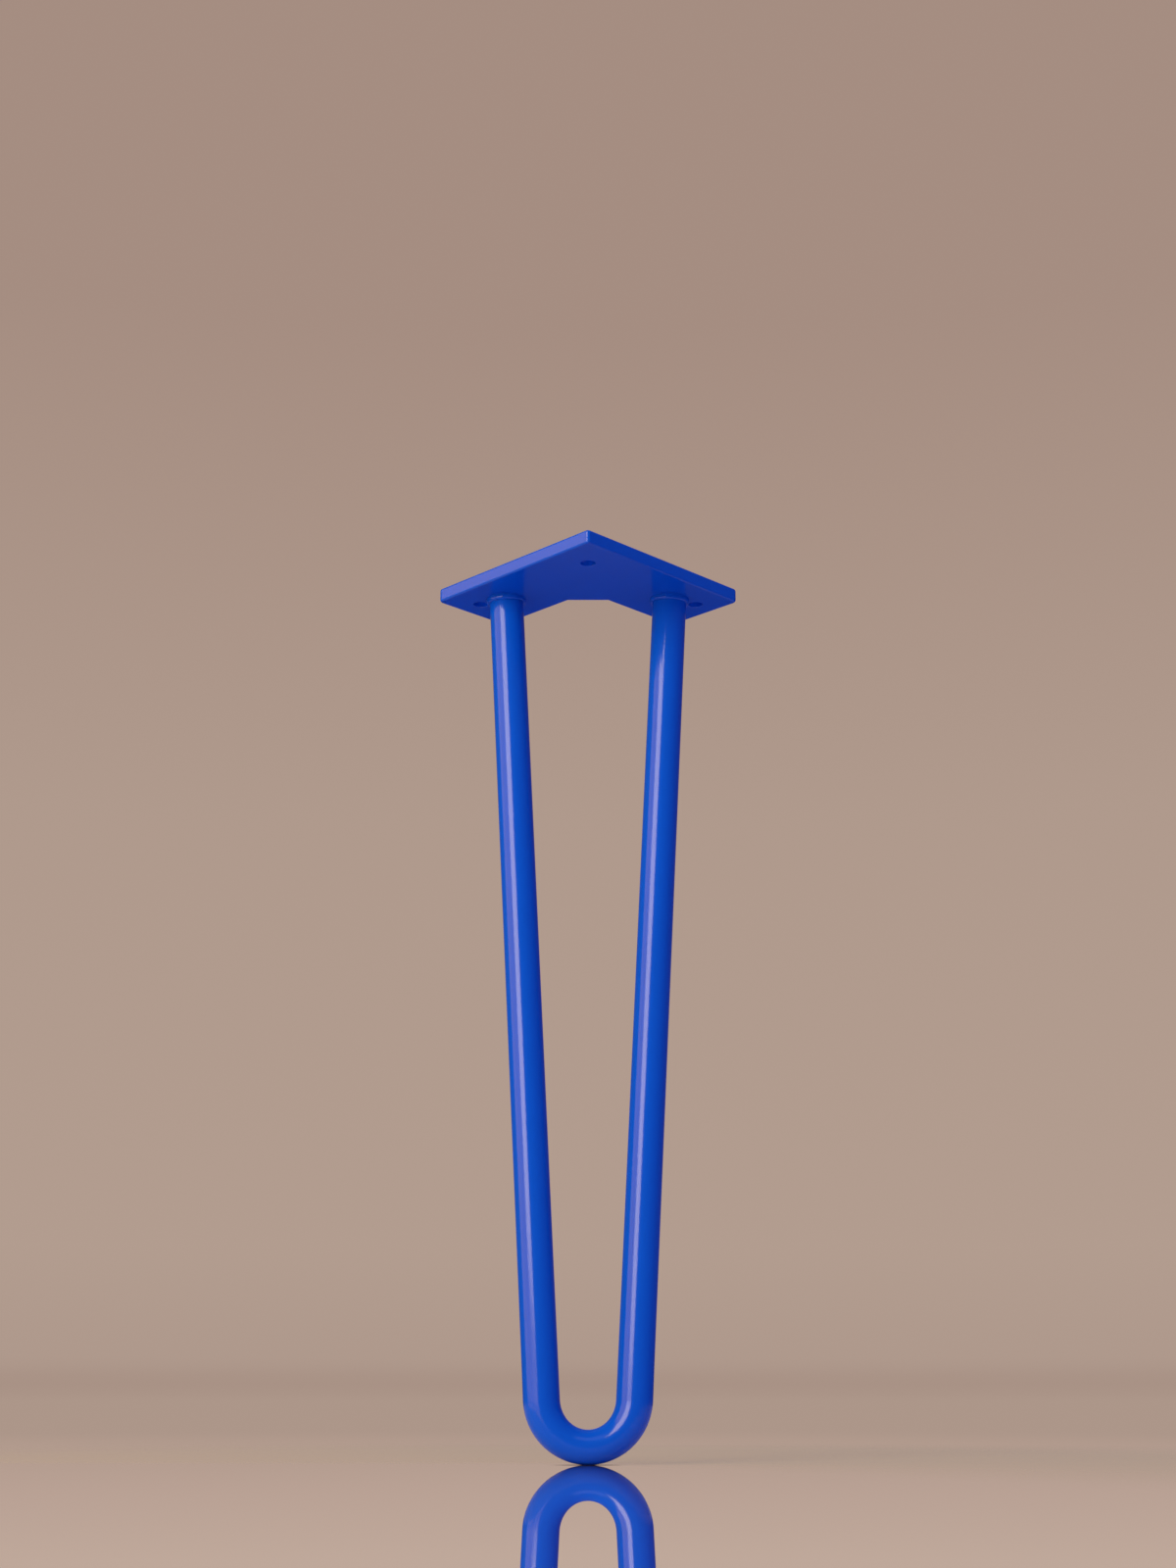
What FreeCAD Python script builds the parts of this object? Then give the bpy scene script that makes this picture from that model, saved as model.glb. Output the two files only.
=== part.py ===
import FreeCAD, Part
import math
import os

import Sketcher

os.makedirs("parts", exist_ok=True)

# Hairpin table leg: one solid round steel rod bent into a U, its two ends
# welded flat against the underside of an L-shaped mounting plate.
#
# Frame, in millimetres: +Z up, the plate's mounting face at Z = 0, the plate's
# outer corner towards -Y and the U spread along X. The origin is where the
# centre lines of the plate's two arms cross, on the mounting face.

# Driving sizes: name, value, meaning
SIZES = (
    ("overall_height", 305.0, "mounting face to the lowest point of the bend"),
    ("plate_edge", 76.2, "length of each outer edge of the plate"),
    ("arm_width", 32.0, "width of each arm of the plate"),
    ("plate_thickness", 4.8, "thickness of the plate"),
    ("inner_cut", 10.0, "leg of the straight cut across the inner corner"),
    ("tip_rounding", 2.0, "radius of the corners at the ends of the arms"),
    ("corner_rounding", 1.2, "radius of the outer corner"),
    ("screw_hole_diameter", 5.0, "diameter of each screw hole"),
    ("corner_hole_inset", 13.0, "corner hole, in from both outer edges"),
    ("arm_hole_inset", 12.5, "arm hole, in from the outer edge of its own arm"),
    ("arm_hole_margin", 9.0, "arm hole, in from the end of its arm"),
    ("rod_diameter", 12.0, "diameter of the rod"),
    ("rod_spacing", 58.4, "between the rod's two centres at the plate"),
    ("bend_radius", 15.0, "radius of the bend, on the rod's centre line"),
    ("lean_angle", 3.3, "lean of the U, foot towards the outer corner, degrees"),
    ("weld_reach", 1.2, "width of the weld bead on the plate"),
    ("weld_drop", 2.4, "height of the weld bead down the rod"),
)

# What follows from the driving sizes
ROOT_TWO = math.sqrt(2)
CORNER_SETBACK = "(Sizes.arm_width / sqrt(2))"
HALF_SPACING = "(Sizes.rod_spacing / 2)"
ROD_RADIUS = "(Sizes.rod_diameter / 2)"
# Depth of the bend's lowest centre-line point and of its centre, in the leaning plane
BEND_DEPTH = f"((Sizes.overall_height - Sizes.plate_thickness - {ROD_RADIUS}) / cos(Sizes.lean_angle))"
CENTRE_DEPTH = f"({BEND_DEPTH} - Sizes.bend_radius)"
# Angle of each straight leg to the middle line of the U
TAPER = (
    f"(atan({HALF_SPACING} / {CENTRE_DEPTH})"
    f" - asin(Sizes.bend_radius / sqrt({HALF_SPACING}^2 + {CENTRE_DEPTH}^2)))"
)

doc = FreeCAD.newDocument("HairpinLeg")
sheet = doc.addObject("Spreadsheet::Sheet", "Sizes")
for row, (alias, value, meaning) in enumerate(SIZES, start=1):
    sheet.set(f"A{row}", meaning)
    sheet.set(f"B{row}", str(value))
    sheet.setAlias(f"B{row}", alias)
doc.recompute()


def worth(expression):
    """Return the present value of an expression, in millimetres or degrees."""
    result = sheet.evalExpression(expression)
    return float(getattr(result, "Value", result))


def origin_part(body, role):
    """Return the plane or axis of the body's own origin that has this role."""
    return next(part for part in body.Origin.OriginFeatures if part.Role == role)


def new_body(label):
    """Start one physical piece."""
    body = doc.addObject("PartDesign::Body", label)
    body.Label = label
    return body


def new_sketch(body, name, role):
    """Start a sketch flat on one of the body's origin planes."""
    sketch = body.newObject("Sketcher::SketchObject", name)
    sketch.AttachmentSupport = [(origin_part(body, role), "")]
    sketch.MapMode = "FlatFace"
    return sketch


def dimension(sketch, name, expression, kind, *elements):
    """Add a driving dimension to a sketch, bound to an expression."""
    index = sketch.addConstraint(Sketcher.Constraint(kind, *elements, worth(expression)))
    sketch.renameConstraint(index, name)
    sketch.setExpression(f"Constraints.{name}", expression)


def rules(sketch, *constraints):
    """Add the constraints that have no size, each a tuple of kind and elements."""
    for kind, *elements in constraints:
        sketch.addConstraint(Sketcher.Constraint(kind, *elements))


def closed_outline(sketch, corners):
    """Draw lines round the corners and join them end to end."""
    points = [FreeCAD.Vector(x, y, 0) for x, y in corners]
    for start, end in zip(points, points[1:] + points[:1]):
        sketch.addGeometry(Part.LineSegment(start, end))
    for line in range(len(points)):
        rules(sketch, ("Coincident", line, END, (line + 1) % len(points), START))


# How a sketch numbers the places on its lines and its own axes
START = 1
END = 2
CENTRE = 3
ORIGIN = (-1, 1)
ACROSS = -1
UPRIGHT = -2


def round_upright_edges(body, name, radius, wanted):
    """Round the plate's upright edges for which wanted(x, y) holds."""
    base = body.Tip
    edges = []
    for number, edge in enumerate(base.Shape.Edges, start=1):
        low, high = edge.Vertexes[0].Point, edge.Vertexes[-1].Point
        upright = math.isclose(low.x, high.x, abs_tol=1e-6) and math.isclose(low.y, high.y, abs_tol=1e-6)
        if upright and wanted(low.x, low.y):
            edges.append(f"Edge{number}")
    rounding = body.newObject("PartDesign::Fillet", name)
    rounding.Base = (base, edges)
    rounding.setExpression("Radius", radius)
    doc.recompute()


# Mounting plate: two equal arms at a right angle, square ends, the inner
# corner cut straight across, and three plain screw holes
def build_mounting_plate():
    plate = new_body("mounting_plate")
    setback = worth(CORNER_SETBACK)
    edge, width, cut = worth("Sizes.plate_edge"), worth("Sizes.arm_width"), worth("Sizes.inner_cut")

    def in_plan(along, across):
        """Return the place along and across the right arm, from the outer corner."""
        return ((along - across) / ROOT_TWO, (along + across) / ROOT_TWO - setback)

    right = [in_plan(edge, 0), in_plan(edge, width), in_plan(width + cut, width)]
    left = [(-x, y) for x, y in reversed(right)]
    outline = new_sketch(plate, "plate_outline", "XY_Plane")
    closed_outline(outline, [in_plan(0, 0)] + right + left)
    rules(
        outline,
        ("PointOnObject", 0, START, UPRIGHT),
        ("Symmetric", 0, END, 5, END, UPRIGHT),
        ("Symmetric", 1, END, 4, END, UPRIGHT),
        ("Symmetric", 2, END, 3, END, UPRIGHT),
        ("Perpendicular", 0, 6),
        ("Perpendicular", 0, 1),
        ("Parallel", 0, 2),
    )
    dimension(outline, "setback", CORNER_SETBACK, "DistanceY", 0, START, *ORIGIN)
    dimension(outline, "outer_edge", "Sizes.plate_edge", "Distance", 0)
    dimension(outline, "arm_end", "Sizes.arm_width", "Distance", 1)
    inner_edge = "Sizes.plate_edge - Sizes.arm_width - Sizes.inner_cut"
    dimension(outline, "inner_edge", inner_edge, "Distance", 2)

    pad = plate.newObject("PartDesign::Pad", "plate_stock")
    pad.Profile = outline
    pad.Reversed = True
    pad.setExpression("Length", "Sizes.plate_thickness")
    doc.recompute()
    tip_start = (edge - width) / ROOT_TWO - width / 4
    round_upright_edges(plate, "tip_corners", "Sizes.tip_rounding", lambda x, y: abs(x) > tip_start)
    round_upright_edges(plate, "outer_corner", "Sizes.corner_rounding", lambda x, y: y < -setback / 2)

    holes = new_sketch(plate, "screw_hole_centres", "XY_Plane")
    reach = "((Sizes.plate_edge - Sizes.arm_hole_margin) / sqrt(2))"
    inset = "(Sizes.arm_hole_inset / sqrt(2))"
    side = f"({reach} - {inset})"
    back = f"({reach} + {inset} - {CORNER_SETBACK})"
    front = f"({CORNER_SETBACK} - Sizes.corner_hole_inset * sqrt(2))"
    radius = worth("Sizes.screw_hole_diameter") / 2
    centres = ((0, -worth(front)), (worth(side), worth(back)), (-worth(side), worth(back)))
    for x, y in centres:
        holes.addGeometry(Part.Circle(FreeCAD.Vector(x, y, 0), FreeCAD.Vector(0, 0, 1), radius))
    rules(
        holes,
        ("PointOnObject", 0, CENTRE, UPRIGHT),
        ("Symmetric", 1, CENTRE, 2, CENTRE, UPRIGHT),
        ("Equal", 0, 1),
        ("Equal", 0, 2),
    )
    dimension(holes, "front", front, "DistanceY", 0, CENTRE, *ORIGIN)
    dimension(holes, "side", side, "DistanceX", *ORIGIN, 1, CENTRE)
    dimension(holes, "back", back, "DistanceY", *ORIGIN, 1, CENTRE)
    dimension(holes, "hole", "Sizes.screw_hole_diameter", "Diameter", 0)
    doc.recompute()
    drilled = plate.newObject("PartDesign::Hole", "screw_holes")
    drilled.Profile = holes
    drilled.DepthType = "ThroughAll"
    drilled.Threaded = False
    drilled.setExpression("Diameter", "Sizes.screw_hole_diameter")
    doc.recompute()
    return plate


def hang_in_leaning_plane(body):
    """Place a body that is drawn in the plane of the U.

    Its own origin is halfway between the rod's two centres on the plate's underside.
    """
    body.Placement.Rotation = FreeCAD.Rotation(FreeCAD.Vector(-1, 0, 0), worth("Sizes.lean_angle"))
    body.setExpression("Placement.Base.y", HALF_SPACING)
    body.setExpression("Placement.Base.z", "-Sizes.plate_thickness")
    body.setExpression("Placement.Rotation.Angle", "Sizes.lean_angle")


def trim_at_plate(body, name):
    """Cut the body off flush with the plate's underside, and return the cut."""
    level = new_sketch(body, f"{name}_level", "XY_Plane")
    level.AttachmentOffset = FreeCAD.Placement(
        FreeCAD.Vector(0, 0, 0), FreeCAD.Rotation(FreeCAD.Vector(1, 0, 0), worth("Sizes.lean_angle"))
    )
    level.setExpression("AttachmentOffset.Rotation.Angle", "Sizes.lean_angle")
    half_width = f"({HALF_SPACING} + 2 * Sizes.rod_diameter)"
    half_depth = "(2 * Sizes.rod_diameter)"
    x, y = worth(half_width), worth(half_depth)
    closed_outline(level, [(-x, -y), (x, -y), (x, y), (-x, y)])
    rules(
        level,
        ("Horizontal", 0),
        ("Vertical", 1),
        ("Horizontal", 2),
        ("Vertical", 3),
        ("Symmetric", 0, START, 1, END, *ORIGIN),
    )
    dimension(level, "half_width", half_width, "DistanceX", *ORIGIN, 0, END)
    dimension(level, "half_depth", half_depth, "DistanceY", *ORIGIN, 1, END)
    cut = body.newObject("PartDesign::Pocket", name)
    cut.Profile = level
    cut.Type = "ThroughAll"
    cut.Reversed = True
    doc.recompute()
    return cut


# Hairpin rod: half of it is swept from the bottom of the bend up past the
# plate's underside, trimmed flush there, and mirrored into the whole U
def build_hairpin_rod():
    rod = new_body("hairpin_rod")
    hang_in_leaning_plane(rod)
    radius, depth = worth("Sizes.bend_radius"), worth(CENTRE_DEPTH)
    taper = math.radians(worth(TAPER))
    half_spacing, stock = worth(HALF_SPACING), worth(ROD_RADIUS)
    line = new_sketch(rod, "centre_line", "XZ_Plane")
    bend_centre = FreeCAD.Vector(0, -depth, 0)
    circle = Part.Circle(bend_centre, FreeCAD.Vector(0, 0, 1), radius)
    line.addGeometry(Part.ArcOfCircle(circle, -math.pi / 2, -taper))
    tangent = bend_centre + FreeCAD.Vector(radius * math.cos(taper), -radius * math.sin(taper), 0)
    top = FreeCAD.Vector(half_spacing + stock * math.tan(taper), stock, 0)
    line.addGeometry(Part.LineSegment(tangent, top))
    line.addGeometry(Part.Point(FreeCAD.Vector(half_spacing, 0, 0)), True)
    rules(
        line,
        ("PointOnObject", 0, CENTRE, UPRIGHT),
        ("PointOnObject", 0, START, UPRIGHT),
        ("Tangent", 0, END, 1, START),
        ("PointOnObject", 2, START, 1),
        ("PointOnObject", 2, START, ACROSS),
    )
    dimension(line, "bend", "Sizes.bend_radius", "Radius", 0)
    dimension(line, "bend_depth", BEND_DEPTH, "DistanceY", 0, START, *ORIGIN)
    dimension(line, "at_plate", HALF_SPACING, "DistanceX", *ORIGIN, 2, START)
    dimension(line, "trim_stock", ROD_RADIUS, "DistanceY", *ORIGIN, 1, END)

    section = new_sketch(rod, "rod_section", "YZ_Plane")
    centre = FreeCAD.Vector(0, -worth(BEND_DEPTH), 0)
    section.addGeometry(Part.Circle(centre, FreeCAD.Vector(0, 0, 1), stock))
    rules(section, ("PointOnObject", 0, CENTRE, UPRIGHT))
    dimension(section, "bend_depth", BEND_DEPTH, "DistanceY", 0, CENTRE, *ORIGIN)
    dimension(section, "rod", "Sizes.rod_diameter", "Diameter", 0)

    sweep = rod.newObject("PartDesign::AdditivePipe", "half_rod")
    sweep.Profile = section
    sweep.Spine = line
    doc.recompute()
    end_trim = trim_at_plate(rod, "end_trim")
    whole = rod.newObject("PartDesign::Mirrored", "whole_rod")
    whole.Originals = [sweep, end_trim]
    whole.MirrorPlane = (origin_part(rod, "YZ_Plane"), [""])
    rod.Tip = whole
    doc.recompute()
    return rod


# Weld bead: a low rounded ring in the corner between one end of the rod and
# the plate. Side is +1 for the right end and -1 for the left.
def build_weld_bead(label, side):
    bead = new_body(label)
    hang_in_leaning_plane(bead)
    section = new_sketch(bead, "bead_section", "XZ_Plane")
    section.AttachmentOffset = FreeCAD.Placement(
        FreeCAD.Vector(side * worth(HALF_SPACING), 0, 0),
        FreeCAD.Rotation(FreeCAD.Vector(0, 0, -side), worth(TAPER)),
    )
    section.setExpression("AttachmentOffset.Base.x", f"{side} * {HALF_SPACING}")
    section.setExpression("AttachmentOffset.Rotation.Angle", TAPER)

    inner, reach, drop = worth(ROD_RADIUS), worth("Sizes.weld_reach"), worth("Sizes.weld_drop")
    outer, stock = inner + reach, inner
    crown = "((Sizes.weld_reach^2 + Sizes.weld_drop^2) / (2 * Sizes.weld_reach))"
    crown_radius = worth(crown)
    crown_circle = Part.Circle(
        FreeCAD.Vector(outer - crown_radius, 0, 0), FreeCAD.Vector(0, 0, 1), crown_radius
    )
    section.addGeometry(Part.ArcOfCircle(crown_circle, -math.asin(drop / crown_radius), 0))
    walls = ((outer, 0), (outer, stock), (inner, stock), (inner, -drop))
    for start, end in zip(walls, walls[1:]):
        section.addGeometry(Part.LineSegment(FreeCAD.Vector(*start, 0), FreeCAD.Vector(*end, 0)))
    rules(
        section,
        ("Tangent", 0, END, 1, START),
        ("Coincident", 1, END, 2, START),
        ("Coincident", 2, END, 3, START),
        ("Coincident", 3, END, 0, START),
        ("Vertical", 1),
        ("Horizontal", 2),
        ("Vertical", 3),
        ("PointOnObject", 0, END, ACROSS),
    )
    dimension(section, "rod_wall", ROD_RADIUS, "DistanceX", *ORIGIN, 0, START)
    dimension(section, "reach", "Sizes.weld_reach", "DistanceX", 0, START, 0, END)
    dimension(section, "drop", "Sizes.weld_drop", "DistanceY", 0, START, *ORIGIN)
    dimension(section, "trim_stock", ROD_RADIUS, "DistanceY", *ORIGIN, 1, END)

    ring = bead.newObject("PartDesign::Revolution", "bead_ring")
    ring.Profile = section
    ring.ReferenceAxis = (section, ["V_Axis"])
    ring.Angle = 360
    doc.recompute()
    trim_at_plate(bead, "bead_trim")
    return bead


pieces = [
    build_mounting_plate(),
    build_hairpin_rod(),
    build_weld_bead("weld_bead_left", -1),
    build_weld_bead("weld_bead_right", 1),
]
doc.recompute()

for thing in doc.Objects:
    if "Invalid" in thing.State or "Error" in thing.State:
        raise RuntimeError(f"{thing.Label} did not compute")
for piece in pieces:
    if piece.Shape.isNull() or not piece.Shape.isValid():
        raise RuntimeError(f"{piece.Label} has no valid shape")

for piece in pieces:
    piece.Shape.exportStep(f"parts/{piece.Label}.step")
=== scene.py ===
"""Dressed model of a hairpin table leg: an L-shaped plate, a bent rod and two weld beads."""
import logging
import math
from dataclasses import dataclass
from enum import Enum

import bmesh
import bpy
from mathutils import Matrix, Vector


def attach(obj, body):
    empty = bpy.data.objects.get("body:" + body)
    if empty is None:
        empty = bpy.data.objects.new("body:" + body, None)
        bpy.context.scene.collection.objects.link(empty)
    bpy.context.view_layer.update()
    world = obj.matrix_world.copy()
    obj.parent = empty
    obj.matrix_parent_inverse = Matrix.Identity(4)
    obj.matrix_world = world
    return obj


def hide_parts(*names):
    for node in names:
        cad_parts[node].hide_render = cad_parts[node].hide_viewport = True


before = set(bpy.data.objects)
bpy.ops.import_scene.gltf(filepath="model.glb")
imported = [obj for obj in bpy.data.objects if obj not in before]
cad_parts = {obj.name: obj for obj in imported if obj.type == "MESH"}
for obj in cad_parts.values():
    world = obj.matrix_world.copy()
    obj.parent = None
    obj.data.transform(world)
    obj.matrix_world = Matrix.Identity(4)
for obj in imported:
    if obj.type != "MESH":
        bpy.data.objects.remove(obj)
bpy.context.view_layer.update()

COAT_SLOT = "blue_powder_coat"
BODY = "root"
MM = 0.001
# Points closer together than this are the same point
TOUCH = 1e-6
# Edges that turn by more than this stay sharp
SHARP_TURN = math.radians(35)
# The middle of what Blender's noise gives
NOISE_MIDDLE = 0.5

Colour = tuple[float, float, float]
Value = bpy.types.NodeSocket | float | Colour

log = logging.getLogger("hairpin_leg")


class Side(Enum):
    """Which end of the rod a piece belongs to, as the sign of its X."""

    LEFT = -1
    RIGHT = 1


class Carries(Enum):
    """What a socket of a node group carries."""

    PLACE = "NodeSocketVector"
    NUMBER = "NodeSocketFloat"
    COLOUR = "NodeSocketColor"


@dataclass(frozen=True)
class LegSizes:
    """The leg's driving sizes in metres, and the places that follow from them."""

    overall_height: float = 305 * MM
    plate_edge: float = 76.2 * MM
    arm_width: float = 32 * MM
    plate_thickness: float = 4.8 * MM
    inner_cut: float = 10 * MM
    tip_rounding: float = 2 * MM
    corner_rounding: float = 1.2 * MM
    screw_hole_diameter: float = 5 * MM
    corner_hole_inset: float = 13 * MM
    arm_hole_inset: float = 12.5 * MM
    arm_hole_margin: float = 9 * MM
    rod_diameter: float = 12 * MM
    rod_spacing: float = 58.4 * MM
    bend_radius: float = 15 * MM
    lean: float = math.radians(3.3)

    @property
    def setback(self) -> float:
        """Distance from the outer corner to the crossing of the arms' centre lines."""
        return self.arm_width / math.sqrt(2)

    @property
    def rod_radius(self) -> float:
        """Radius of the rod."""
        return self.rod_diameter / 2

    @property
    def half_spacing(self) -> float:
        """Half the distance between the rod's two centres at the plate."""
        return self.rod_spacing / 2

    @property
    def bend_depth(self) -> float:
        """Depth of the bend's lowest centre-line point below the plate, along the lean."""
        drop = self.overall_height - self.plate_thickness - self.rod_radius
        return drop / math.cos(self.lean)

    @property
    def centre_depth(self) -> float:
        """Depth of the bend's centre below the plate, along the lean."""
        return self.bend_depth - self.bend_radius

    @property
    def taper(self) -> float:
        """Angle of each straight leg to the middle line of the U."""
        reach = math.hypot(self.half_spacing, self.centre_depth)
        return math.atan2(self.half_spacing, self.centre_depth) - math.asin(self.bend_radius / reach)

    @property
    def hang(self) -> Matrix:
        """The place of the leaning plane of the U, its origin midway between the rod's ends."""
        place = Matrix.Translation((0, self.half_spacing, -self.plate_thickness))
        return place @ Matrix.Rotation(-self.lean, 4, "X")

    def in_plan(self, along: float, across: float) -> Vector:
        """Place a point of the right arm on the mounting face.

        Args:
            along: Distance along the arm's outer edge, from the outer corner.
            across: Distance in from that edge.

        Returns:
            The point in the row frame.
        """
        turn = math.sqrt(2)
        return Vector(((along - across) / turn, (along + across) / turn - self.setback, 0))


def new_object(name: str, form: bmesh.types.BMesh) -> bpy.types.Object:
    """Turn a finished bmesh into a smooth-shaded object at the origin.

    Args:
        name: The piece's name.
        form: The bmesh, which is freed.

    Returns:
        The linked object.
    """
    for edge in form.edges:
        edge.smooth = len(edge.link_faces) == 2 and edge.calc_face_angle(0.0) < SHARP_TURN
    for face in form.faces:
        face.smooth = True
    mesh = bpy.data.meshes.new(name)
    form.to_mesh(mesh)
    form.free()
    piece = bpy.data.objects.new(name, mesh)
    bpy.context.scene.collection.objects.link(piece)
    return piece


def turned(profile: list[tuple[float, float]], steps: int) -> bmesh.types.BMesh:
    """Spin a profile once round the Z axis.

    Args:
        profile: Radius and height of each point, in order.
        steps: How many steps make the full turn.

    Returns:
        The turned form, with its poles merged and its faces outwards.
    """
    form = bmesh.new()
    points = [form.verts.new((radius, 0, height)) for radius, height in profile]
    for start, end in zip(points, points[1:]):
        form.edges.new((start, end))
    bmesh.ops.spin(
        form, geom=form.verts[:] + form.edges[:], cent=(0, 0, 0), axis=(0, 0, 1),
        angle=2 * math.pi, steps=steps, use_merge=True,
    )
    bmesh.ops.remove_doubles(form, verts=form.verts[:], dist=TOUCH)
    bmesh.ops.recalc_face_normals(form, faces=form.faces[:])
    return form


def feed(socket: bpy.types.NodeSocket, value: Value) -> None:
    """Give a node's input what it takes.

    Args:
        socket: The input.
        value: A number, a colour or place, or the socket to link it to.
    """
    if isinstance(value, bpy.types.NodeSocket):
        socket.id_data.links.new(value, socket)
    elif socket.type == "RGBA":
        socket.default_value = (*value, 1)
    else:
        socket.default_value = value


def new_node(tree: bpy.types.NodeTree, kind: str, inputs: dict[str, Value]) -> bpy.types.Node:
    """Put a node in a tree and feed it.

    Args:
        tree: The tree.
        kind: Blender's name of the node.
        inputs: What its inputs take, by their names.

    Returns:
        The node.
    """
    node = tree.nodes.new(kind)
    for name, value in inputs.items():
        feed(node.inputs[name], value)
    return node


def worked(tree: bpy.types.NodeTree, operation: str, *values: Value) -> bpy.types.NodeSocket:
    """Work out one number from others.

    Args:
        tree: The tree that gets the node.
        operation: Blender's name of the sum.
        values: What it takes, in order.

    Returns:
        The socket that gives the result.
    """
    node = tree.nodes.new("ShaderNodeMath")
    node.operation = operation
    for socket, value in zip(node.inputs, values):
        feed(socket, value)
    return node.outputs[0]


def vector_worked(tree: bpy.types.NodeTree, operation: str, *values: Value) -> bpy.types.Node:
    """Work out something from vectors.

    Args:
        tree: The tree that gets the node.
        operation: Blender's name of the sum.
        values: What it takes, in order.

    Returns:
        The node.
    """
    node = tree.nodes.new("ShaderNodeVectorMath")
    node.operation = operation
    for socket, value in zip(node.inputs, values):
        feed(socket, value)
    return node


def eased(
    tree: bpy.types.NodeTree,
    value: bpy.types.NodeSocket,
    given: tuple[Value, Value],
    wanted: tuple[Value, Value],
) -> bpy.types.NodeSocket:
    """Carry one range of a value smoothly over to another.

    Args:
        tree: The tree that gets the node.
        value: The socket that gives the value.
        given: Where the value's range begins and ends.
        wanted: What it becomes there.

    Returns:
        The socket that gives the result.
    """
    limits = {"From Min": given[0], "From Max": given[1], "To Min": wanted[0], "To Max": wanted[1]}
    node = new_node(tree, "ShaderNodeMapRange", {"Value": value, **limits})
    node.interpolation_type = "SMOOTHSTEP"
    return node.outputs["Result"]


def shader(tree: bpy.types.NodeTree, kind: str, colour: Value) -> bpy.types.NodeSocket:
    """Make a plain shader of one colour.

    Args:
        tree: The tree that gets it.
        kind: Blender's name of the shader's node.
        colour: The colour, or the socket that gives it.

    Returns:
        The socket that gives the shader.
    """
    return new_node(tree, kind, {"Color": colour}).outputs[0]


def mixed(
    tree: bpy.types.NodeTree,
    share: bpy.types.NodeSocket,
    first: bpy.types.NodeSocket,
    second: bpy.types.NodeSocket,
) -> bpy.types.NodeSocket:
    """Mix two shaders.

    Args:
        tree: The tree that gets the node.
        share: The socket that gives the second shader's share.
        first: The first shader's socket.
        second: The second shader's socket.

    Returns:
        The socket that gives the mix.
    """
    node = new_node(tree, "ShaderNodeMixShader", {"Fac": share})
    feed(node.inputs[1], first)
    feed(node.inputs[2], second)
    return node.outputs[0]


@dataclass(frozen=True)
class PowderCoat:
    """Bright blue powder coat: colour, gloss and the fine ripple of the cured skin."""

    colour: Colour = (0.002, 0.09, 0.55)
    ior: float = 1.4
    tone_patch: float = 18 * MM
    tone_spread: float = 0.06
    roughness: float = 0.15
    mounting_roughness: float = 0.6
    gloss_patch: float = 9 * MM
    gloss_spread: float = 0.05
    ripple_size: float = 1.6 * MM
    ripple_height: float = 0.003 * MM

    def build(self) -> bpy.types.Material:
        """Make the material.

        Returns:
            The powder coat.
        """
        material = bpy.data.materials.new(COAT_SLOT)
        material.use_nodes = True
        tree = material.node_tree
        place = tree.nodes.new("ShaderNodeTexCoord").outputs["Object"]
        tone = placed_group(tree, coat_tone_group(), {
            "Place": place,
            "Colour": self.colour,
            "Patch": 1 / self.tone_patch,
            "Spread": self.tone_spread,
        })
        gloss = placed_group(tree, coat_gloss_group(), {
            "Place": place,
            "Roughness": self.roughness,
            "Patch": 1 / self.gloss_patch,
            "Spread": self.gloss_spread,
            "Mounting Roughness": self.mounting_roughness,
        })
        peel = placed_group(tree, orange_peel_group(), {
            "Place": place,
            "Density": 1 / self.ripple_size,
        })
        bump = new_node(tree, "ShaderNodeBump", {
            "Strength": 1.0,
            "Distance": self.ripple_height,
            "Height": peel,
        })
        skin = tree.nodes["Principled BSDF"]
        skin.inputs["IOR"].default_value = self.ior
        feed(skin.inputs["Base Color"], tone)
        feed(skin.inputs["Roughness"], gloss)
        feed(skin.inputs["Normal"], bump.outputs["Normal"])
        return material


def new_group(name: str, inputs: dict[str, Carries], output: str, gives: Carries) -> bpy.types.NodeTree:
    """Start a shader node group with named sockets.

    Args:
        name: The group's name.
        inputs: The name of each input and what it carries.
        output: The name of the one output.
        gives: What the output carries.

    Returns:
        The group's tree, with its group input and output nodes made.
    """
    tree = bpy.data.node_groups.new(name, "ShaderNodeTree")
    for socket, carries in inputs.items():
        tree.interface.new_socket(socket, in_out="INPUT", socket_type=carries.value)
    tree.interface.new_socket(output, in_out="OUTPUT", socket_type=gives.value)
    tree.nodes.new("NodeGroupInput").name = "in"
    tree.nodes.new("NodeGroupOutput").name = "out"
    return tree


def placed_group(
    tree: bpy.types.NodeTree,
    group: bpy.types.NodeTree,
    inputs: dict[str, Value],
) -> bpy.types.NodeSocket:
    """Put a node group in a material's tree.

    Args:
        tree: The material's tree.
        group: The group's tree.
        inputs: What the group's inputs take, by their names.

    Returns:
        The socket that gives what the group puts out.
    """
    node = tree.nodes.new("ShaderNodeGroup")
    node.node_tree = group
    for name, value in inputs.items():
        feed(node.inputs[name], value)
    return node.outputs[0]


def noise(
    tree: bpy.types.NodeTree,
    density: bpy.types.NodeSocket,
    detail: float,
    roughness: float = 0.5,
) -> bpy.types.NodeSocket:
    """Lay noise over the surface, at the place that the group is given.

    Args:
        tree: The group's tree, which has the input Place.
        density: The socket that gives how many patches fit in a metre.
        detail: How many finer layers it has.
        roughness: How strong the finer layers are.

    Returns:
        The socket that gives the noise.
    """
    return new_node(tree, "ShaderNodeTexNoise", {
        "Vector": tree.nodes["in"].outputs["Place"],
        "Scale": density,
        "Detail": detail,
        "Roughness": roughness,
    }).outputs["Fac"]


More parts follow.
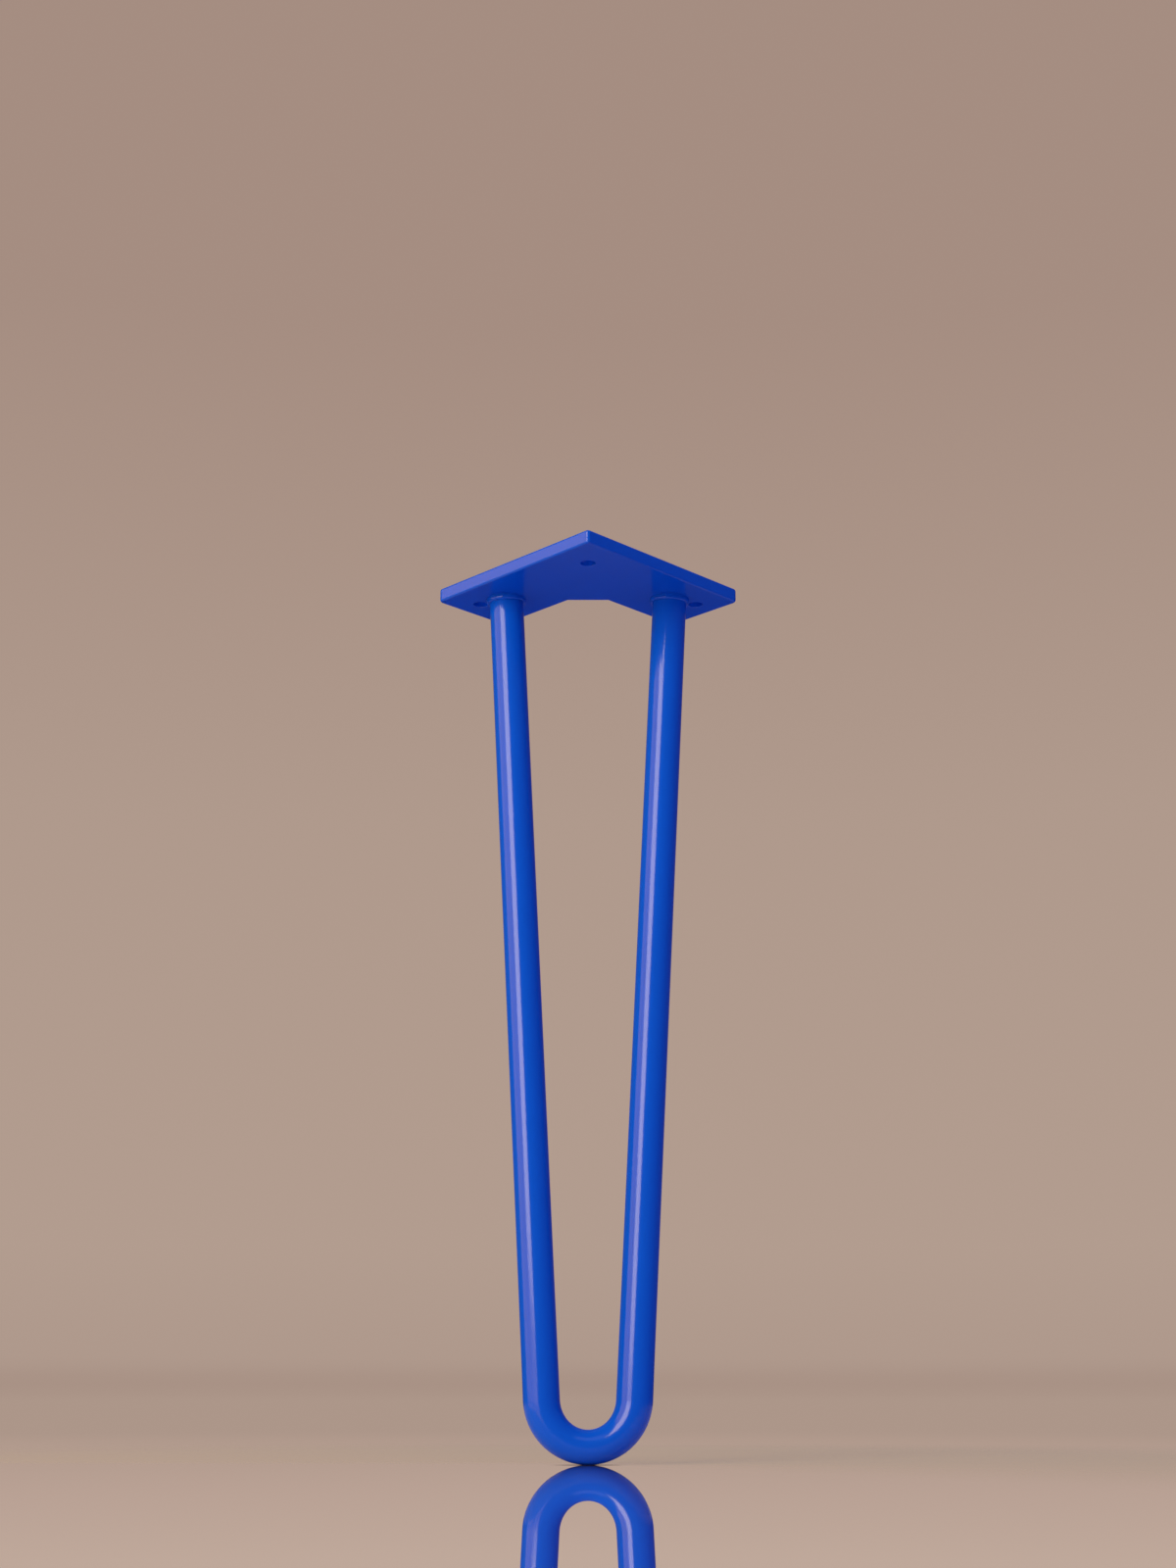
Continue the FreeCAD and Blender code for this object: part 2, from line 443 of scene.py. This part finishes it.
def drift(tree: bpy.types.NodeTree, middle: Value, detail: float) -> bpy.types.NodeSocket:
    """Let a value drift a little over the surface.

    Args:
        tree: The group's tree, which has the inputs Place, Patch and Spread.
        middle: The value that it drifts round.
        detail: How many finer layers the drift has.

    Returns:
        The socket that gives the drifting value.
    """
    given = tree.nodes["in"].outputs
    centred = worked(tree, "SUBTRACT", noise(tree, given["Patch"], detail), NOISE_MIDDLE)
    return worked(tree, "MULTIPLY_ADD", centred, given["Spread"], middle)


def coat_tone_group() -> bpy.types.NodeTree:
    """Make the group that lets the coat's colour drift a little over the surface.

    Returns:
        The group's tree.
    """
    inputs = {
        "Place": Carries.PLACE,
        "Colour": Carries.COLOUR,
        "Patch": Carries.NUMBER,
        "Spread": Carries.NUMBER,
    }
    tree = new_group("coat_tone", inputs, "Colour", Carries.COLOUR)
    shade = vector_worked(tree, "SCALE", tree.nodes["in"].outputs["Colour"])
    feed(shade.inputs["Scale"], drift(tree, 1.0, detail=3.0))
    feed(tree.nodes["out"].inputs["Colour"], shade.outputs[0])
    return tree


def coat_gloss_group() -> bpy.types.NodeTree:
    """Make the group that lets the coat's roughness drift, and leaves the mounting face duller.

    Returns:
        The group's tree.
    """
    inputs = {
        "Place": Carries.PLACE,
        "Roughness": Carries.NUMBER,
        "Spread": Carries.NUMBER,
        "Patch": Carries.NUMBER,
        "Mounting Roughness": Carries.NUMBER,
    }
    tree = new_group("coat_gloss", inputs, "Roughness", Carries.NUMBER)
    given = tree.nodes["in"].outputs
    glossy = drift(tree, given["Roughness"], detail=2.0)
    height = new_node(tree, "ShaderNodeSeparateXYZ", {"Vector": given["Place"]}).outputs["Z"]
    from_rim_to_face = (-0.3 * MM, -0.02 * MM)
    roughness = eased(tree, height, from_rim_to_face, (glossy, given["Mounting Roughness"]))
    feed(tree.nodes["out"].inputs["Roughness"], roughness)
    return tree


def orange_peel_group() -> bpy.types.NodeTree:
    """Make the group that gives the height of the cured coat's fine ripple.

    Returns:
        The group's tree.
    """
    inputs = {"Place": Carries.PLACE, "Density": Carries.NUMBER}
    tree = new_group("orange_peel", inputs, "Height", Carries.NUMBER)
    density = tree.nodes["in"].outputs["Density"]
    feed(tree.nodes["out"].inputs["Height"], noise(tree, density, detail=1.0, roughness=0.4))
    return tree


@dataclass
class MountingPlate:
    """The L-shaped plate, with its edges softened by the coat and its holes drilled."""

    sizes: LegSizes
    edge_softness: float = 0.8 * MM
    hole_softness: float = 0.35 * MM
    drill_clearance: float = 1 * MM
    level_within: float = math.radians(10)
    corner_steps: int = 10
    rim_steps: int = 6
    hole_steps: int = 64
    face_weight: int = 100

    def build(self) -> bpy.types.Object:
        """Model the plate.

        Returns:
            The finished piece.
        """
        plate = new_object("mounting_plate_coated", self.stock())
        drill = new_object("plate_drill", self.drill())
        cut = plate.modifiers.new("screw_holes", "BOOLEAN")
        cut.operation = "DIFFERENCE"
        cut.solver = "EXACT"
        cut.object = drill
        depsgraph = bpy.context.evaluated_depsgraph_get()
        drilled = bpy.data.meshes.new_from_object(plate.evaluated_get(depsgraph))
        plate.modifiers.clear()
        undrilled = plate.data
        plate.data = drilled
        bpy.data.meshes.remove(undrilled)
        bpy.data.meshes.remove(drill.data)
        drilled.name = plate.name
        flatten = plate.modifiers.new("flat_faces", "WEIGHTED_NORMAL")
        flatten.mode = "FACE_AREA"
        flatten.weight = self.face_weight
        flatten.keep_sharp = True
        return plate

    def stock(self) -> bmesh.types.BMesh:
        """Cut the plate's outline, give it its thickness and soften all its edges.

        Returns:
            The plate without its holes.
        """
        sizes = self.sizes
        right = [
            sizes.in_plan(sizes.plate_edge, 0),
            sizes.in_plan(sizes.plate_edge, sizes.arm_width),
            sizes.in_plan(sizes.arm_width + sizes.inner_cut, sizes.arm_width),
        ]
        left = [Vector((-place.x, place.y, 0)) for place in reversed(right)]
        form = bmesh.new()
        outline = [form.verts.new(place) for place in [sizes.in_plan(0, 0)] + right + left]
        top = form.faces.new(outline)
        grown = bmesh.ops.extrude_face_region(form, geom=[top])["geom"]
        lower = [item for item in grown if isinstance(item, bmesh.types.BMVert)]
        bmesh.ops.translate(form, verts=lower, vec=(0, 0, -sizes.plate_thickness))
        bmesh.ops.recalc_face_normals(form, faces=form.faces[:])

        tip_start = (sizes.plate_edge - sizes.arm_width) / math.sqrt(2) - TOUCH
        upright = [edge for edge in form.edges if abs(edge.verts[0].co.z - edge.verts[1].co.z) > TOUCH]
        tips = [edge for edge in upright if abs(edge.verts[0].co.x) > tip_start]
        corner = [edge for edge in upright if edge.verts[0].co.y < TOUCH]
        self.round_off(form, tips, sizes.tip_rounding, self.corner_steps)
        self.round_off(form, corner, sizes.corner_rounding, self.corner_steps)
        level = math.cos(self.level_within)
        rims = [
            edge for edge in form.edges
            if sum(abs(face.normal.z) > level for face in edge.link_faces) == 1
        ]
        self.round_off(form, rims, self.edge_softness, self.rim_steps)
        return form

    def round_off(
        self,
        form: bmesh.types.BMesh,
        edges: list[bmesh.types.BMEdge],
        radius: float,
        steps: int,
    ) -> None:
        """Round some of the plate's edges.

        Args:
            form: The plate.
            edges: The edges.
            radius: How far the rounding reaches.
            steps: How many faces it has.
        """
        bmesh.ops.bevel(
            form, geom=edges, offset=radius, offset_type="OFFSET", segments=steps,
            profile=0.5, affect="EDGES", material=-1,
        )

    def drill(self) -> bmesh.types.BMesh:
        """Make the form that cuts the three screw holes, flared where the coat rounds their rims.

        Returns:
            The three cutters in their places.
        """
        sizes, soft, clear = self.sizes, self.hole_softness, self.drill_clearance
        radius, depth = sizes.screw_hole_diameter / 2, sizes.plate_thickness
        steps = [math.pi / 2 * step / self.rim_steps for step in range(self.rim_steps + 1)]
        upper = [(radius + soft - soft * math.sin(turn), soft * math.cos(turn) - soft) for turn in steps]
        lower = [(across, -depth - height) for across, height in reversed(upper)]
        profile = (
            [(0, clear), (radius + soft, clear)] + upper + lower
            + [(radius + soft, -depth - clear), (0, -depth - clear)]
        )
        form = turned(profile, self.hole_steps)
        side = sizes.in_plan(sizes.plate_edge - sizes.arm_hole_margin, sizes.arm_hole_inset)
        corner = sizes.in_plan(sizes.corner_hole_inset, sizes.corner_hole_inset)
        first = form.verts[:] + form.edges[:] + form.faces[:]
        for place in (corner, side):
            copied = bmesh.ops.duplicate(form, geom=first)["geom"]
            verts = [item for item in copied if isinstance(item, bmesh.types.BMVert)]
            bmesh.ops.translate(form, verts=verts, vec=place)
        own = [item for item in first if isinstance(item, bmesh.types.BMVert)]
        bmesh.ops.translate(form, verts=own, vec=(-side.x, side.y, 0))
        return form


@dataclass
class HairpinRod:
    """The one bent rod: half of it is swept and mirrored into the U, which is leaned and trimmed."""

    sizes: LegSizes
    around: int = 96
    bend_steps: int = 56
    leg_steps: int = 30
    flattening: float = 0.9 * MM

    def build(self) -> bpy.types.Object:
        """Model the rod.

        Returns:
            The finished piece.
        """
        sizes = self.sizes
        form = bmesh.new()
        self.sweep_leg(form, self.sweep_bend(form))
        everything = form.verts[:] + form.edges[:] + form.faces[:]
        bmesh.ops.mirror(form, geom=everything, merge_dist=TOUCH, axis="X")
        self.flatten_bend(form)
        bmesh.ops.transform(form, matrix=sizes.hang, verts=form.verts[:])
        bmesh.ops.bisect_plane(
            form, geom=form.verts[:] + form.edges[:] + form.faces[:], dist=TOUCH,
            plane_co=(0, 0, -sizes.plate_thickness), plane_no=(0, 0, 1), clear_outer=True,
        )
        open_ends = [edge for edge in form.edges if edge.is_boundary]
        bmesh.ops.holes_fill(form, edges=open_ends, sides=0)
        bmesh.ops.recalc_face_normals(form, faces=form.faces[:])
        return new_object("hairpin_rod_coated", form)

    def sweep_bend(self, form: bmesh.types.BMesh) -> list[bmesh.types.BMEdge]:
        """Sweep half of the bend, from its lowest point to the start of the right leg.

        Args:
            form: The empty bmesh that it is swept in.

        Returns:
            The ring of edges where the leg goes on.
        """
        sizes = self.sizes
        start = Matrix.Translation((0, 0, -sizes.bend_depth)) @ Matrix.Rotation(math.pi / 2, 4, "Y")
        bmesh.ops.create_circle(form, segments=self.around, radius=sizes.rod_radius, matrix=start)
        bend = bmesh.ops.spin(
            form, geom=form.verts[:] + form.edges[:], cent=(0, 0, -sizes.centre_depth),
            axis=(0, -1, 0), angle=math.pi / 2 - sizes.taper, steps=self.bend_steps,
        )
        return [item for item in bend["geom_last"] if isinstance(item, bmesh.types.BMEdge)]

    def sweep_leg(self, form: bmesh.types.BMesh, ring: list[bmesh.types.BMEdge]) -> None:
        """Sweep the right leg up past the plate's underside, where it is trimmed later.

        Args:
            form: The bmesh with the half bend.
            ring: The ring of edges where the leg begins.
        """
        sizes = self.sizes
        spare = sizes.rod_radius
        rise = sizes.centre_depth + sizes.bend_radius * math.sin(sizes.taper) + spare
        step = rise / math.cos(sizes.taper) / self.leg_steps
        climb = Vector((math.sin(sizes.taper), 0, math.cos(sizes.taper))) * step
        for _ in range(self.leg_steps):
            grown = bmesh.ops.extrude_edge_only(form, edges=ring)["geom"]
            ring = [item for item in grown if isinstance(item, bmesh.types.BMEdge)]
            verts = [item for item in grown if isinstance(item, bmesh.types.BMVert)]
            bmesh.ops.translate(form, verts=verts, vec=climb)

    def flatten_bend(self, form: bmesh.types.BMesh) -> None:
        """Press the bend's inner side outwards a little, as bending leaves it.

        Args:
            form: The whole U, upright, before it is leaned and trimmed.
        """
        sizes = self.sizes
        outer = sizes.bend_radius + sizes.rod_radius
        end = math.pi / 2 - sizes.taper
        for vert in form.verts:
            across, up = vert.co.x, vert.co.z + sizes.centre_depth
            turn = math.atan2(abs(across), -up)
            if turn >= end:
                continue
            reach = math.hypot(across, up)
            share = math.cos(turn / end * math.pi / 2) ** 2 * (outer - reach) / sizes.rod_diameter
            stretch = 1 + self.flattening * share / reach
            vert.co.x = across * stretch
            vert.co.z = up * stretch - sizes.centre_depth


@dataclass
class WeldBead:
    """One ring of weld between an end of the rod and the plate, softened by the coat.

    At the rod's sides and back it hangs down by the share side_drop of its
    section. It follows the plate fully from plate_reach outwards, and the slow
    wander and the ripples are strongest at crown_depth below the plate.
    """

    sizes: LegSizes
    side: Side
    around: int = 96
    rounding_levels: int = 2
    side_drop: float = 0.6
    crown_depth: float = 1.2 * MM
    plate_reach: float = 1.4 * MM
    phase: float = 1.3
    wander: float = 0.048 * MM
    second_wander: float = 0.0288 * MM
    ripples: int = 17
    ripple_depth: float = 0.04 * MM
    ripple_unevenness: float = 0.8

    # Distance out from the rod and height from the plate, in millimetres, from
    # the toe on the rod over the crown to the toe on the plate
    SECTION = (
        (-0.3, -2.45), (0.0, -2.38), (0.3, -2.33), (0.62, -2.2), (0.86, -1.88), (0.97, -1.4),
        (1.0, -0.9), (1.02, -0.45), (1.06, -0.1), (1.06, 0.2), (0.5, 0.4), (-0.6, 0.3), (-0.6, -2.0),
    )

    def build(self) -> bpy.types.Object:
        """Model the bead.

        Returns:
            The finished piece.
        """
        sizes = self.sizes
        closed = self.SECTION + self.SECTION[:1]
        profile = [(sizes.rod_radius + out * MM, height * MM) for out, height in closed]
        form = turned(profile, self.around)
        place = sizes.hang @ Matrix.Translation((self.side.value * sizes.half_spacing, 0, 0))
        place = place @ Matrix.Rotation(self.side.value * sizes.taper, 4, "Y")
        up = place.to_3x3().transposed() @ Vector((0, 0, 1))
        for vert in form.verts:
            self.settle(vert, up)
        bmesh.ops.transform(form, matrix=place, verts=form.verts[:])
        bmesh.ops.recalc_face_normals(form, faces=form.faces[:])
        bead = new_object(f"weld_bead_{self.side.name.lower()}_coated", form)
        rounding = bead.modifiers.new("rounded", "SUBSURF")
        rounding.levels = self.rounding_levels
        rounding.render_levels = self.rounding_levels
        return bead

    def settle(self, vert: bmesh.types.BMVert, up: Vector) -> None:
        """Move one point of the ring so that the bead follows the plate and ripples.

        Args:
            vert: The point, in the frame of the rod's end.
            up: The plate's upward direction in that frame.
        """
        out = math.hypot(vert.co.x, vert.co.y) - self.sizes.rod_radius
        angle = math.atan2(vert.co.y, vert.co.x)
        front = max(0.0, -math.sin(angle)) ** 2
        vert.co.z *= self.side_drop + (1 - self.side_drop) * front
        lift = -(up.x * vert.co.x + up.y * vert.co.y) / up.z
        vert.co.z += lift * min(max(out / self.plate_reach, 0), 1)
        nearness = max(0.0, 1 - abs(vert.co.z + self.crown_depth) / self.crown_depth) * (out > 0)
        stretch = 1 + self.swell(angle) * nearness / (out + self.sizes.rod_radius)
        vert.co.x *= stretch
        vert.co.y *= stretch

    def swell(self, angle: float) -> float:
        """Work out how far the bead's crown stands out past its section.

        Args:
            angle: The angle round the rod.

        Returns:
            The distance, below zero where the bead is thinner.
        """
        phase = self.phase * self.side.value
        slow = self.wander * math.sin(2 * angle + phase)
        slow += self.second_wander * math.sin(5 * angle - 2 * phase)
        uneven = self.ripple_unevenness * math.sin(3 * angle + phase)
        return slow + self.ripple_depth * math.sin(self.ripples * angle + uneven)


@dataclass(frozen=True)
class Lamp:
    """One soft light on a stand, facing the leg.

    Its bearing turns from the camera's side (0) to the left (90), and low and
    high are the heights of its edges above the floor. Without mirrored, the
    coat and the floor take its light but show no reflection of it.
    """

    name: str
    bearing: float
    distance: float
    low: float
    high: float
    width: float
    radiance: float
    colour: Colour
    mirrored: bool = True

    def hang(self, floor_z: float) -> None:
        """Hang the lamp.

        Args:
            floor_z: Height of the floor.
        """
        tall = self.high - self.low
        data = bpy.data.lights.new(self.name, "AREA")
        data.shape = "RECTANGLE"
        data.size = self.width
        data.size_y = tall
        data.energy = math.pi * self.radiance * self.width * tall
        data.color = self.colour
        holder = bpy.data.objects.new(self.name, data)
        bearing = math.radians(self.bearing)
        away = Vector((-math.sin(bearing), -math.cos(bearing), 0)) * self.distance
        holder.location = away + Vector((0, 0, floor_z + self.low + tall / 2))
        aim = Vector((0, 0, floor_z / 2)) - holder.location
        holder.rotation_euler = aim.to_track_quat("-Z", "Y").to_euler()
        holder.visible_camera = False
        holder.visible_glossy = self.mirrored
        bpy.context.scene.collection.objects.link(holder)
        log.info("%s hung", self.name)


@dataclass(frozen=True)
class PolishedFloor:
    """Pale floor: plain from above, like a mirror at a very low angle, duller behind the leg.

    Names that end in inner and outer are distances from the leg between which
    a change takes place. The gap under the bend is shaded where its openness is
    between contact_open and contact_shut.
    """

    paint: Colour = (0.415, 0.307, 0.252)
    near: Colour = (0.575, 0.48, 0.295)
    # Painted shade: the floor's colour far from the leg, painted nearly black as a falloff of the lamps'
    # light
    far_painted_dark: Colour = (0.03, 0.03, 0.04)
    bounce: Colour = (0.40, 0.52, 0.70)
    polish: Colour = (1, 1, 1)
    # Between these distances the floor's colour is painted from the near colour to the dark far one, a
    # painted pool of light round the leg
    painted_dark_inner: float = 0.40
    painted_dark_outer: float = 0.85
    evenness: float = 0.45
    even_inner: float = 0.22
    even_outer: float = 0.58
    mirror_from: float = 0.90
    mirror_full: float = 0.925
    mirror_most: float = 0.985
    dullness: float = 0.80
    dull_from: float = 0.012
    dull_full: float = 0.055
    dull_skew: float = 1.6
    dull_inner: float = 0.22
    dull_outer: float = 0.42
    contact_shade: Colour = (0.03, 0.024, 0.026)
    contact_reach: float = 0.012
    contact_open: float = 0.55
    contact_shut: float = 0.15

    def build(self) -> bpy.types.Material:
        """Make the material.

        Returns:
            The floor's finish.
        """
        material = bpy.data.materials.new("pale_floor")
        material.use_nodes = True
        tree = material.node_tree
        tree.nodes.remove(tree.nodes["Principled BSDF"])
        rays = tree.nodes.new("ShaderNodeLightPath").outputs
        place = tree.nodes.new("ShaderNodeTexCoord").outputs["Object"]
        flat = vector_worked(tree, "MULTIPLY", place, (1, 1, 0)).outputs[0]
        distance = vector_worked(tree, "LENGTH", flat).outputs["Value"]

        matt = self.matt(tree, distance, rays["Is Camera Ray"])
        polish = new_node(tree, "ShaderNodeBsdfGlossy", {"Color": self.polish, "Roughness": 0.0})
        floor = mixed(tree, self.mirror_share(tree, place, distance), matt, polish.outputs[0])
        floor = self.shade_contact(tree, floor)
        plain = shader(tree, "ShaderNodeBsdfDiffuse", self.bounce)
        whole = mixed(tree, rays["Is Diffuse Ray"], floor, plain)
        feed(tree.nodes["Material Output"].inputs["Surface"], whole)
        return material

    def matt(
        self,
        tree: bpy.types.NodeTree,
        distance: bpy.types.NodeSocket,
        seen: bpy.types.NodeSocket,
    ) -> bpy.types.NodeSocket:
        """Make the floor as it looks from above, lit near the leg and evenly painted further out. Away
        from the leg its colour is painted dark, a painted falloff of the lamps' light that shows in the
        coat's reflections.

        Args:
            tree: The material's tree.
            distance: The socket that gives the distance from the leg.
            seen: The socket that says whether the camera sees the floor directly.

        Returns:
            The socket that gives the shader.
        """
        # Painted shade: the floor's colour darkens with distance from the leg, where the lamps' light
        # would fall off
        painted_dark_share = eased(tree, distance, (self.painted_dark_inner, self.painted_dark_outer), (0, 1))
        tone = tree.nodes.new("ShaderNodeMix")
        tone.data_type = "RGBA"
        feed(tone.inputs["Factor"], painted_dark_share)
        feed(tone.inputs["A"], self.near)
        feed(tone.inputs["B"], self.far_painted_dark)
        lit = shader(tree, "ShaderNodeBsdfDiffuse", tone.outputs["Result"])
        even = shader(tree, "ShaderNodeEmission", self.paint)
        spread = eased(tree, distance, (self.even_inner, self.even_outer), (self.evenness, 1))
        return mixed(tree, worked(tree, "MULTIPLY", spread, seen), lit, even)

    def mirror_share(
        self,
        tree: bpy.types.NodeTree,
        place: bpy.types.NodeSocket,
        distance: bpy.types.NodeSocket,
    ) -> bpy.types.NodeSocket:
        """Work out how much the floor mirrors: most at a very low angle, less behind the leg.

        Args:
            tree: The material's tree.
            place: The socket that gives the place on the floor.
            distance: The socket that gives the distance from the leg.

        Returns:
            The socket that gives the mirror's share.
        """
        axes = new_node(tree, "ShaderNodeSeparateXYZ", {"Vector": place}).outputs
        right = worked(tree, "MAXIMUM", axes["X"], 0)
        dull_from = worked(tree, "MULTIPLY_ADD", right, -self.dull_skew, self.dull_from)
        behind = eased(tree, axes["Y"], (dull_from, self.dull_full), (0, self.dullness))
        around = eased(tree, distance, (self.dull_inner, self.dull_outer), (1, 0))
        dulled = worked(tree, "MULTIPLY", behind, around)
        most = worked(tree, "SUBTRACT", self.mirror_most, dulled)
        facing = tree.nodes.new("ShaderNodeLayerWeight").outputs["Facing"]
        share = eased(tree, facing, (self.mirror_from, self.mirror_full), (0, most))
        close = eased(tree, distance, (self.painted_dark_inner, self.painted_dark_outer), (1, 0))
        return worked(tree, "MULTIPLY", share, close)

    def shade_contact(
        self,
        tree: bpy.types.NodeTree,
        floor: bpy.types.NodeSocket,
    ) -> bpy.types.NodeSocket:
        """Darken the narrow gap between the floor and the bend.

        Args:
            tree: The material's tree.
            floor: The socket that gives the floor's shader.

        Returns:
            The socket that gives the darkened shader.
        """
        gap = new_node(tree, "ShaderNodeAmbientOcclusion", {"Distance": self.contact_reach})
        shut = eased(tree, gap.outputs["AO"], (self.contact_shut, self.contact_open), (1, 0))
        return mixed(tree, shut, floor, shader(tree, "ShaderNodeBsdfDiffuse", self.contact_shade))


@dataclass
class Studio:
    """A plain pale floor and backdrop, soft lamps on the left, and the camera."""

    sizes: LegSizes
    ambient: Colour = (0.20, 0.27, 0.585)
    ambient_mean: float = 0.80
    ambient_swing: float = 0.33
    ambient_side: tuple[float, float, float] = (-0.16, -0.92, -0.35)
    backdrop_from: float = 0.86
    backdrop_full: float = 0.96
    room_share: float = 0.16
    floor_radius: float = 6.0
    floor_steps: int = 128
    focal_px: float = 2136.5
    picture_height_px: float = 1600
    principal_y_px: float = 960
    sensor_mm: float = 36
    nearest_seen: float = 0.01
    farthest_seen: float = 50
    pitch: float = math.radians(12.398)
    camera_height: float = 0.020
    camera_to_corner: float = 0.6545
    # Sine of the elevation, and the backdrop's colour there
    BACKDROP = (
        (0.0, (0.415, 0.307, 0.252)),
        (0.0065, (0.394, 0.287, 0.236)),
        (0.0105, (0.396, 0.289, 0.238)),
        (0.018, (0.426, 0.317, 0.262)),
        (0.07, (0.447, 0.335, 0.276)),
        (0.27, (0.432, 0.322, 0.265)),
        (0.48, (0.377, 0.268, 0.221)),
    )
    # The same for what the coat and the floor reflect
    REFLECTED = (
        (0.0, (0.403, 0.296, 0.240)),
        (0.04, (0.485, 0.357, 0.299)),
        (0.07, (0.522, 0.394, 0.327)),
        (0.30, (0.432, 0.322, 0.265)),
    )
    LAMPS = (
        Lamp(
            "left_panel", bearing=58, distance=1.5, low=0.0, high=1.2, width=2.40,
            radiance=2.3, colour=(1.0, 0.50, 0.11),
        ),
        Lamp(
            "window", bearing=35, distance=1.45, low=0.24, high=1.15, width=0.74,
            radiance=7.0, colour=(1.0, 0.88, 0.74),
        ),
        Lamp(
            "front_top", bearing=6, distance=1.1, low=1.3, high=2.2, width=1.3,
            radiance=0.9, colour=(0.65, 0.60, 1.0),
        ),
        Lamp(
            "back_top", bearing=175, distance=1.1, low=1.2, high=2.1, width=1.4,
            radiance=3.2, colour=(0.85, 0.85, 1.0), mirrored=False,
        ),
    )

    @property
    def floor_z(self) -> float:
        """Height of the floor, at the lowest point of the bend."""
        return -self.sizes.overall_height

    def build(self) -> None:
        """Make the floor, the backdrop, the lamps and the camera."""
        self.lay_floor()
        self.paint_backdrop()
        for lamp in self.LAMPS:
            lamp.hang(self.floor_z)
        self.set_camera()
        bpy.context.scene.view_settings.view_transform = "Standard"

    def lay_floor(self) -> None:
        """Lay the floor."""
        form = bmesh.new()
        bmesh.ops.create_circle(
            form, cap_ends=True, segments=self.floor_steps, radius=self.floor_radius,
            matrix=Matrix.Translation((0, 0, self.floor_z)),
        )
        floor = new_object("floor", form)
        floor.data.materials.append(PolishedFloor().build())

    def paint_backdrop(self) -> None:
        """Give the backdrop its colour, and the soft light that comes from all round."""
        world = bpy.data.worlds.new("studio")
        bpy.context.scene.world = world
        world.use_nodes = True
        tree = world.node_tree
        way = tree.nodes.new("ShaderNodeTexCoord").outputs["Generated"]
        axes = new_node(tree, "ShaderNodeSeparateXYZ", {"Vector": way}).outputs
        seen = tree.nodes["Background"]
        feed(seen.inputs["Color"], self.backdrop_ramp(tree, axes["Z"], self.BACKDROP))
        behind = eased(tree, axes["Y"], (self.backdrop_from, self.backdrop_full), (self.room_share, 1))
        mirrored = new_node(tree, "ShaderNodeBackground", {
            "Color": self.backdrop_ramp(tree, axes["Z"], self.REFLECTED),
            "Strength": behind,
        })
        toward = vector_worked(tree, "DOT_PRODUCT", way, self.ambient_side).outputs["Value"]
        fill = new_node(tree, "ShaderNodeBackground", {
            "Color": self.ambient,
            "Strength": worked(tree, "MULTIPLY_ADD", toward, self.ambient_swing, self.ambient_mean),
        })
        rays = tree.nodes.new("ShaderNodeLightPath").outputs
        bounced = worked(tree, "MAXIMUM", rays["Is Glossy Ray"], rays["Is Transmission Ray"])
        room = mixed(tree, bounced, fill.outputs[0], mirrored.outputs[0])
        room = mixed(tree, rays["Is Camera Ray"], room, seen.outputs[0])
        feed(tree.nodes["World Output"].inputs["Surface"], room)

    def backdrop_ramp(
        self,
        tree: bpy.types.NodeTree,
        height: bpy.types.NodeSocket,
        paint: tuple[tuple[float, Colour], ...],
    ) -> bpy.types.NodeSocket:
        """Colour the backdrop by its height.

        Args:
            tree: The world's tree.
            height: The socket that gives the sine of the elevation.
            paint: Sine of the elevation and the colour there, in order.

        Returns:
            The socket that gives the colour.
        """
        ramp = new_node(tree, "ShaderNodeValToRGB", {"Fac": height})
        stops = ramp.color_ramp.elements
        for number, (place, colour) in enumerate(paint):
            stop = stops[number] if number < len(stops) else stops.new(1.0)
            stop.position = place
            stop.color = (*colour, 1)
        return ramp.outputs["Color"]

    def set_camera(self) -> None:
        """Set up the camera low in front of the outer corner, tilted up."""
        data = bpy.data.cameras.new("camera")
        data.sensor_width = self.sensor_mm
        data.lens = self.focal_px * self.sensor_mm / self.picture_height_px
        data.shift_y = (self.principal_y_px - self.picture_height_px / 2) / self.picture_height_px
        data.clip_start = self.nearest_seen
        data.clip_end = self.farthest_seen
        camera = bpy.data.objects.new("camera", data)
        back = -self.sizes.setback - self.camera_to_corner
        camera.location = (0, back, self.floor_z + self.camera_height)
        camera.rotation_euler = (math.pi / 2 + self.pitch, 0, 0)
        bpy.context.scene.collection.objects.link(camera)
        bpy.context.scene.camera = camera


def dress(piece: bpy.types.Object, node: str, coat: bpy.types.Material) -> None:
    """Coat a finished piece and let it stand for its node.

    Args:
        piece: The piece.
        node: The node that it replaces.
        coat: The material.
    """
    piece.data.materials.clear()
    piece.data.materials.append(coat)
    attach(piece, BODY)
    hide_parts(node)
    log.info("%s stands for %s", piece.name, node)


def main() -> None:
    """Build the leg and the studio."""
    logging.basicConfig(level=logging.INFO, format="%(name)s: %(message)s")
    sizes = LegSizes()
    coat = PowderCoat().build()
    dress(MountingPlate(sizes).build(), "mounting_plate", coat)
    dress(HairpinRod(sizes).build(), "hairpin_rod", coat)
    for side in Side:
        dress(WeldBead(sizes, side).build(), f"weld_bead_{side.name.lower()}", coat)
    Studio(sizes).build()


if __name__ == "__main__":
    main()
